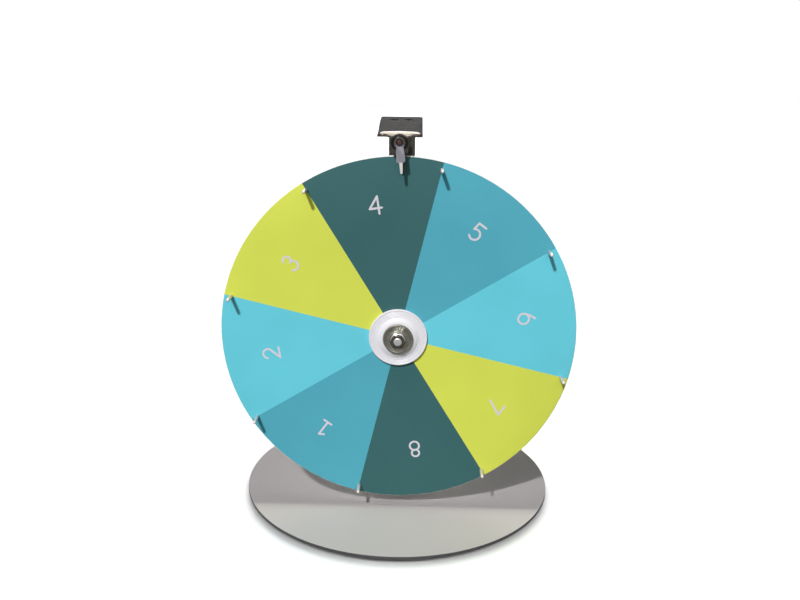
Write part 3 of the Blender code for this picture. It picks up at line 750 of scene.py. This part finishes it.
def make_axle_nut():
    back, front = span("axle_nut")
    bore = 0.0053
    collar = 0.002
    hexagon = nut(0.017, back, front - collar, 0.0074)
    give(as_object(hexagon, "axle_nut_hexagon", [NUT_METAL], IN_DIAL, 25), "stand", "nickel", "axle_nut")
    top, bottom = front, front - collar - 0.0004
    ring = [
        (0.0066, top, 0.0006), (0.0076, top - 0.0010, 0.0006), (0.0076, bottom), (bore, bottom),
        (bore, top, 0.0004)
    ]
    insert = as_object(
        lathe(soften(ring, 5, closed=True), 96, True), "axle_nut_collar", [DARK_NICKEL], IN_DIAL, 40
    )
    give(insert, "stand", "nickel")


make_hubs()
make_cup_washer()
make_axle_nut()


# Pegs


def make_pegs():
    for index in range(1, SECTORS + 1):
        node = f"peg_{index}"
        back, front = span(node)
        low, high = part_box(node)
        radius = 0.002
        shank = 0.0015
        seat = 0.0003
        profile = [
            (0, front),
            (radius * 0.55, front - 0.00022),
            (radius * 0.86, front - 0.0008),
            (radius, front - 0.0018),
            (radius, seat + 0.0003),
            (radius - 0.0002, seat),
            (shank, seat),
            (shank, back + 0.0003),
            (shank - 0.0003, back),
            (0, back),
        ]
        spot = (low + high) / 2 - DIAL
        matrix = IN_DIAL @ Matrix.Translation((spot.x, spot.z, 0))
        give(
            as_object(lathe(profile, 28), f"peg_pin_{index}", [PEG_METAL], matrix, 40), "wheel", "nickel",
            node
        )


make_pegs()


# Arm: a strap that slopes up to the back, with a rounded nose and a tongue


def make_arm():
    low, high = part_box("pointer_arm")
    half = (high.x - low.x) / 2
    sideways = (high.x + low.x) / 2
    sheet = 0.0025
    slope = math.radians(5.6)
    front = depth(low.y)
    back = depth(high.y)
    nose = 0.0130
    nose_tightening = 0.0075
    knob = 0.0075
    top_at_front = high.z - DIAL.z - (front - back) * math.tan(slope)
    tongue_half = 0.0093
    tongue_tip = 0.0060
    tongue_bottom = low.z - DIAL.z
    wing = 0.2246
    pivot = PIVOT.z - DIAL.z
    corner = 0.0045

    def top(z):
        return top_at_front + (front - z) * math.tan(slope)

    def section(bend):
        """The strap's outer line from back to tongue tip, as (z, y, normal z, normal y), for one bend radius."""
        nose_z = front - bend
        nose_y = top(nose_z + bend * math.sin(slope)) - bend * math.cos(slope)
        start, end = back, nose_z + bend * math.sin(slope)
        along = [0, 0.2, 0.45, 0.8, 1.3, 2.0, 2.8, 3.7, 4.5]
        rows = [start + a / 1000 for a in along] + [start + 0.0045 + (end - start - 0.0045) * i / 12 for i in range(1, 13)]
        line = [(z, top(z), math.sin(slope), math.cos(slope)) for z in rows]
        for i in range(1, 25):
            a = math.pi / 2 - slope - (math.pi / 2 - slope) * i / 24
            line.append((nose_z + bend * math.cos(a), nose_y + bend * math.sin(a), math.cos(a), math.sin(a)))
        last = line[-1][1]
        for i in range(1, 29):
            line.append((front, last + (tongue_bottom - last) * i / 28, 1.0, 0.0))
        return line

    def half_width(z, y):
        if z - back < corner:
            inset = corner - math.sqrt(max(0.0, corner**2 - (corner - (z - back)) ** 2))
            return half - inset
        edge = [
            (0.2400, half),
            (wing + 0.0012, half),
            (wing + 0.0003, half - 0.0007),
            (wing, half - 0.0014),
            (wing - 0.0006, half - 0.0055),
            (wing - 0.0013, tongue_half + 0.0060),
            (wing - 0.0026, tongue_half + 0.0022),
            (wing - 0.0050, tongue_half + 0.0002),
            (pivot - 0.0090, tongue_half),
            (tongue_bottom + 0.0010, tongue_tip + 0.0004),
            (tongue_bottom, tongue_tip - 0.0004),
            (tongue_bottom - 0.01, tongue_tip - 0.0004),
        ]
        for (y1, w1), (y2, w2) in zip(edge, edge[1:]):
            if y2 <= y <= y1:
                t = (y1 - y) / (y1 - y2)
                return w1 + (w2 - w1) * t
        return half

    bm = bmesh.new()
    shares = [0, 0.15, 0.3, 0.45, 0.6, 0.72, 0.80, 0.86, 0.90, 0.93, 0.96, 0.98, 1.0]
    shares = [-share for share in reversed(shares[1:])] + shares
    across = len(shares) - 1
    sections = [section(nose - nose_tightening * abs(share) ** 1.3) for share in shares]
    bend_rows = range(14, 21 + 24)
    outer, inner = [], []
    for row in range(len(sections[0])):
        outside, inside = [], []
        for share, line in zip(shares, sections):
            z, y, nz, ny = line[row]
            w = half_width(z, y)
            x = w * share
            drop = 0.0
            if row >= bend_rows.start:
                fade = min(1.0, (row - bend_rows.start + 1) / 6)
                over = max(0.0, abs(x) - (w - knob))
                drop = fade * 0.75 * (knob - math.sqrt(max(0.0, knob**2 - over**2)))
            outside.append(bm.verts.new((x, y - ny * drop, z - nz * drop)))
            inside.append(bm.verts.new((x, y - ny * (sheet + drop * 0.3), z - nz * (sheet + drop * 0.3))))
        outer.append(outside)
        inner.append(inside)
    for a, b in zip(outer, outer[1:]):
        for k in range(across):
            bm.faces.new((a[k], a[k + 1], b[k + 1], b[k]))
    for a, b in zip(inner, inner[1:]):
        for k in range(across):
            bm.faces.new((a[k], b[k], b[k + 1], a[k + 1]))
    for k in (0, across):
        for (a, b), (c, d) in zip(zip(outer, outer[1:]), zip(inner, inner[1:])):
            bm.faces.new((a[k], b[k], d[k], c[k]))
    for a, c in ((outer[0], inner[0]), (outer[-1], inner[-1])):
        for k in range(across):
            bm.faces.new((a[k], a[k + 1], c[k + 1], c[k]))
    arm = as_object(bm, "arm_strap", [DARK_NICKEL], IN_DIAL @ Matrix.Translation((sideways, 0, 0)), 50)
    bevel(arm, 0.0005, 3, 45)
    bake_modifiers(arm, 50)
    for name in ("arm_screw_left", "arm_screw_right"):
        spot = middle(name) - DIAL
        z = depth(middle(name).y)
        post_z = depth(0.0)
        hole = lathe(
            [(0, 0.003), (0.0051, 0.003), (0.0051, -0.0011), (0.0028, -0.0034), (0.0028, -0.006), (0, -0.006)],
            48
        )
        matrix = Matrix.Translation((spot.x, top(post_z), post_z)) @ Matrix.Rotation(slope - math.pi / 2, 4, "X")
        combine(arm, "DIFFERENCE", hole, IN_DIAL @ matrix)
    combine(
        arm, "DIFFERENCE", lathe([(0, 0.002), (0.0018, 0.002), (0.0018, -0.02), (0, -0.02)], 32),
        IN_PIVOT @ Matrix.Translation((0, 0, front))
    )
    give(bake_modifiers(arm, 40), "stand", "dark_nickel", "pointer_arm")


make_arm()


# Pointer


def make_pointer():
    back, front = span("pointer_bush")
    head, neck, body = 0.0062, 0.0040, 0.0049
    shoulder, tip = 0.0203, 0.0324
    wide, narrow = 0.0019, 0.0013
    corner = math.degrees(math.asin(neck / head))
    right = arc(0, 0, head, 90, corner - 90, 22) + [
        (body, -shoulder + 0.0022),
        (body - 0.0002, -shoulder + 0.0010),
        (body - 0.0007, -shoulder + 0.0003),
        (body - 0.0014, -shoulder),
        (wide + 0.0004, -shoulder - 0.0003),
        (wide, -shoulder - 0.0008),
        (narrow, -tip + 0.0010),
        (narrow * 0.85, -tip + 0.0004),
        (narrow * 0.5, -tip + 0.0001),
        (0, -tip),
    ]
    pointer = as_object(plate(mirrored(right), back, front), "pointer_blade", [POINTER_METAL], IN_PIVOT)
    combine(
        pointer, "DIFFERENCE",
        lathe([(0, front + 0.002), (0.0033, front + 0.002), (0.0033, back - 0.002), (0, back - 0.002)], 48),
        IN_PIVOT
    )
    bevel(pointer, 0.00045, 3, 40)
    give(bake_modifiers(pointer, 40), "pointer", "pointer_metal", "pointer")
    stud = lathe(
        [
            (0, back - 0.0025), (0.0010, back - 0.0025), (0.0012, back - 0.0022), (0.0012, back + 0.0004),
            (0, back + 0.0004)
        ],
        24
    )
    give(
        as_object(stud, "pointer_stud", [POINTER_METAL], IN_PIVOT @ Matrix.Translation((0, -0.0100, 0))),
        "pointer", "pointer_metal"
    )


make_pointer()


# Rounded edges on CAD nodes whose shape is right


def ease_edges(width, segments, *names):
    for name in names:
        obj = nodes[name]
        weld = obj.modifiers.new("Weld", "WELD")
        weld.merge_threshold = 0.00001
        flatten = obj.modifiers.new("Flatten", "DECIMATE")
        flatten.decimate_type = "DISSOLVE"
        flatten.angle_limit = math.radians(1)
        bevel(obj, width, segments, 40)
        weighted = obj.modifiers.new("Weighted", "WEIGHTED_NORMAL")
        weighted.weight = 80


ease_edges(0.0004, 2, "post_flange", "rear_washer", "spacer_sleeve")
ease_edges(0.0018, 5, "axle_bolt")
ease_edges(0.0002, 2, "pivot_nut", *(f"peg_nut_{i}" for i in range(1, SECTORS + 1)))


# Floor, light and camera


def make_floor():
    bm = bmesh.new()
    bmesh.ops.create_grid(bm, x_segments=4, y_segments=4, size=12)
    pale = surface("pale_floor", (0.88, 0.88, 0.88), (0.90, 0.90, 0.90), (0.8, 0.9), grain=30)
    floor = as_object(bm, "floor", [pale])
    floor.visible_diffuse = False
    floor.visible_glossy = False
    return floor


def group(name, state, objs):
    collection = bpy.data.collections.new(name)
    for index, obj in enumerate(objs):
        collection.objects.link(obj)
        collection.collection_objects[index].light_linking.link_state = state
    return collection


def lights_all_but(light, *objs):
    light.light_linking.receiver_collection = group(light.name + "_spares", "EXCLUDE", objs)


def lights_only(light, receiver, *blockers):
    light.light_linking.receiver_collection = group(light.name + "_lights", "INCLUDE", [receiver])
    if blockers:
        light.light_linking.blocker_collection = group(light.name + "_is_blocked_by", "INCLUDE", blockers)


def sun(name, travel, strength, angle, color=(1, 1, 1)):
    data = bpy.data.lights.new(name, "SUN")
    data.energy = strength
    data.angle = math.radians(angle)
    data.color = color
    light = bpy.data.objects.new(name, data)
    bpy.context.scene.collection.objects.link(light)
    light.rotation_mode = "QUATERNION"
    light.rotation_quaternion = Vector(travel).to_track_quat("-Z", "Y")
    return light


def reflector(name, width, height, lift, power, color):
    """A board of light that stands in the dial's plane and shines at the player's side of the base."""
    data = bpy.data.lights.new(name, "AREA")
    data.shape = "RECTANGLE"
    data.size, data.size_y = width, height
    data.energy = power
    data.color = color
    light = bpy.data.objects.new(name, data)
    bpy.context.scene.collection.objects.link(light)
    light.location = (0, DIAL.y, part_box("base_plate")[1].z + lift + height / 2)
    light.rotation_euler = (-math.pi / 2, 0, 0)
    light.visible_camera = False
    light.visible_glossy = False
    return light


def make_world():
    """A white studio. The camera sees a plain backdrop, dull surfaces a dim even room, and shiny ones the room
    itself: a dark front, a white back wall and table, and a bright panel overhead."""
    world = bpy.data.worlds.new("studio")
    bpy.context.scene.world = world
    world.use_nodes = True
    tree = world.node_tree
    link = tree.links.new
    tree.nodes.clear()
    coords = tree.nodes.new("ShaderNodeTexCoord")

    def toward(direction, stops):
        """Light that depends on how nearly a ray points in a direction."""
        dot = tree.nodes.new("ShaderNodeVectorMath")
        dot.operation = "DOT_PRODUCT"
        dot.inputs[1].default_value = Vector(direction).normalized()
        link(coords.outputs["Generated"], dot.inputs[0])
        halved = tree.nodes.new("ShaderNodeMath")
        halved.operation = "MULTIPLY_ADD"
        halved.inputs[1].default_value = 0.5
        halved.inputs[2].default_value = 0.5
        link(dot.outputs["Value"], halved.inputs[0])
        ramp = tree.nodes.new("ShaderNodeValToRGB")
        ramp.color_ramp.interpolation = "EASE"
        elements = ramp.color_ramp.elements
        while len(elements) < len(stops):
            elements.new(0.5)
        for element, (position, value) in zip(elements, stops):
            element.position = position
            element.color = (value, value, value, 1)
        link(halved.outputs[0], ramp.inputs["Fac"])
        return ramp.outputs["Color"]

    def background(strength):
        node = tree.nodes.new("ShaderNodeBackground")
        node.inputs["Strength"].default_value = strength
        return node

    walls = background(1.0)
    link(
        toward((0, 1, 0), [(0.0, 0.65), (0.30, 0.60), (0.55, 0.45), (0.90, 0.22), (1.0, 0.20)]),
        walls.inputs["Color"]
    )
    panel = background(PANEL_LIGHT)
    link(
        toward((0, math.sin(PANEL_TILT), math.cos(PANEL_TILT)), [(0.930, 0.0), (0.950, 1.0)]),
        panel.inputs["Color"]
    )
    room = tree.nodes.new("ShaderNodeAddShader")
    link(walls.outputs[0], room.inputs[0])
    link(panel.outputs[0], room.inputs[1])
    dull = background(ROOM_LIGHT)
    dull.inputs["Color"].default_value = (1.0, 0.98, 0.93, 1)
    backdrop = background(1.0)
    backdrop.inputs["Color"].default_value = (1, 1, 1, 1)
    rays = tree.nodes.new("ShaderNodeLightPath")
    shiny = tree.nodes.new("ShaderNodeMixShader")
    link(rays.outputs["Is Glossy Ray"], shiny.inputs["Fac"])
    link(dull.outputs[0], shiny.inputs[1])
    link(room.outputs[0], shiny.inputs[2])
    mix = tree.nodes.new("ShaderNodeMixShader")
    link(rays.outputs["Is Camera Ray"], mix.inputs["Fac"])
    link(shiny.outputs[0], mix.inputs[1])
    link(backdrop.outputs[0], mix.inputs[2])
    output = tree.nodes.new("ShaderNodeOutputWorld")
    link(mix.outputs[0], output.inputs["Surface"])


CAMERA_PLACE = (0.0183, -0.9698, 0.5091)
CAMERA_AIM = (-0.018, 0.315, 0.015)
LENS_MM = 36.9
CENTRE_SHIFT = 0.05


def make_camera():
    data = bpy.data.cameras.new("camera")
    data.sensor_width = 36.0
    data.lens = LENS_MM
    data.shift_y = CENTRE_SHIFT
    data.clip_start, data.clip_end = 0.05, 50
    camera = bpy.data.objects.new("camera", data)
    bpy.context.scene.collection.objects.link(camera)
    bpy.context.scene.camera = camera
    yaw, pitch, roll = CAMERA_AIM
    forward = Vector((math.sin(yaw) * math.cos(pitch), math.cos(yaw) * math.cos(pitch), -math.sin(pitch)))
    right = Vector((math.cos(yaw), -math.sin(yaw), 0))
    up = right.cross(forward)
    across = right * math.cos(roll) + up * math.sin(roll)
    above = up * math.cos(roll) - right * math.sin(roll)
    facing = Matrix((across, above, -forward)).transposed().to_4x4()
    camera.matrix_world = Matrix.Translation(CAMERA_PLACE) @ facing


ROOM_LIGHT = 0.09
PANEL_LIGHT = 8.0
PANEL_TILT = math.radians(28)
KEY_TRAVEL = (0.375, 0.956, -1.0)
FILL_TRAVEL = (0.0, 0.82, -0.57)

ground = make_floor()
disc = bpy.data.objects["base_disc"]
key = sun("key", KEY_TRAVEL, 3.3, 3.0, (0.99, 1.0, 1.0))
lights_all_but(key, ground, disc)
fill = sun("fill", FILL_TRAVEL, 0.8, 50.0, (1.0, 0.98, 0.9))
lights_all_but(fill, ground, disc)
behind = sun("behind", (0.25, -0.95, -0.2), 1.5, 40.0, (0.98, 0.99, 1.0))
behind.visible_glossy = False
lights_all_but(behind, ground, disc)
base_key = sun("base_key", KEY_TRAVEL, 1.85, 3.0, (1.0, 0.975, 1.03))
lights_only(base_key, disc)
board = reflector("base_reflector", 0.8, 0.5, 0.012, 1.22, (1.0, 1.0, 0.86))
lights_only(board, disc, disc)
for name, travel, strength, angle in (
    ("floor_top", (0, 0.1, -1), 0.95, 120.0),
    ("floor_back", (0, -0.90, -0.42), 3.6, 36.0),
    ("floor_left", (0.94, -0.1, -0.30), 2.0, 36.0),
    ("floor_right", (-0.94, -0.1, -0.30), 2.0, 36.0),
):
    lights_only(sun(name, travel, strength, angle), ground, disc)
make_world()
make_camera()
bpy.context.scene.view_settings.view_transform = "Standard"
